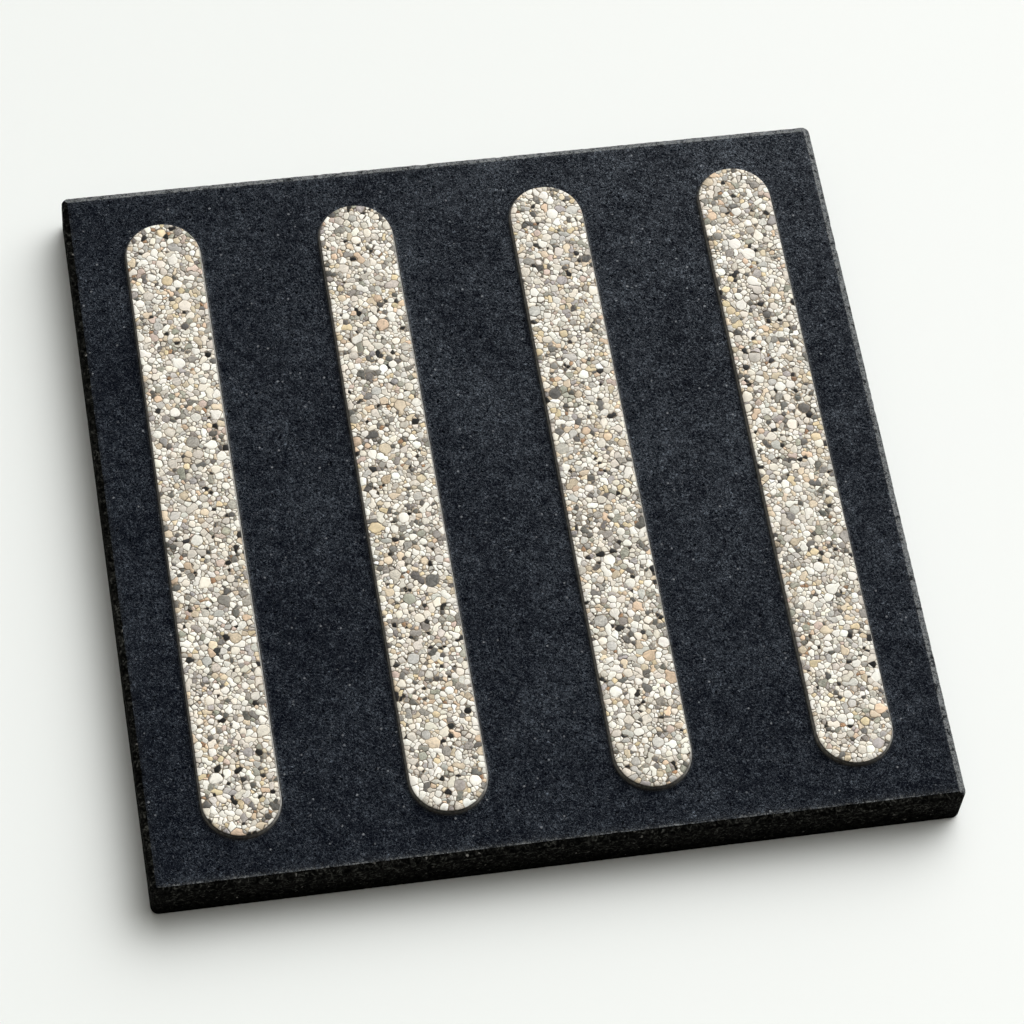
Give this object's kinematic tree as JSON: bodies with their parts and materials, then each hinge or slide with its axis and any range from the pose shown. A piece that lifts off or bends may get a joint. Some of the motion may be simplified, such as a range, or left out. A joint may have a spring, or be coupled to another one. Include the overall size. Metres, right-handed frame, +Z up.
{
  "type": "tactile paving slab",
  "caption": "Square dark concrete paving slab with raised, round-ended guide bars of light exposed-aggregate concrete, laid to mark a walking direction underfoot.",
  "frame": {"origin": "centre of the flat underside", "axes": "+Z up, normal to the walking face; +Y along the guide bars; +X across them"},
  "size_m": [0.3, 0.3, 0.02],
  "materials": {
    "dark_concrete": "fine open-textured concrete, pigmented blue-black, matt, with small pale grains and a slightly ragged top arris",
    "light_aggregate": "ground exposed aggregate: cream, white, grey, beige and peach stones with a few black ones in a thin grey-brown matrix"
  },
  "bodies": {
    "root": {"slab_body": "dark_concrete", "guide_bar_1": "light_aggregate", "guide_bar_2": "light_aggregate", "guide_bar_3": "light_aggregate", "guide_bar_4": "light_aggregate"}
  },
  "joints": []
}
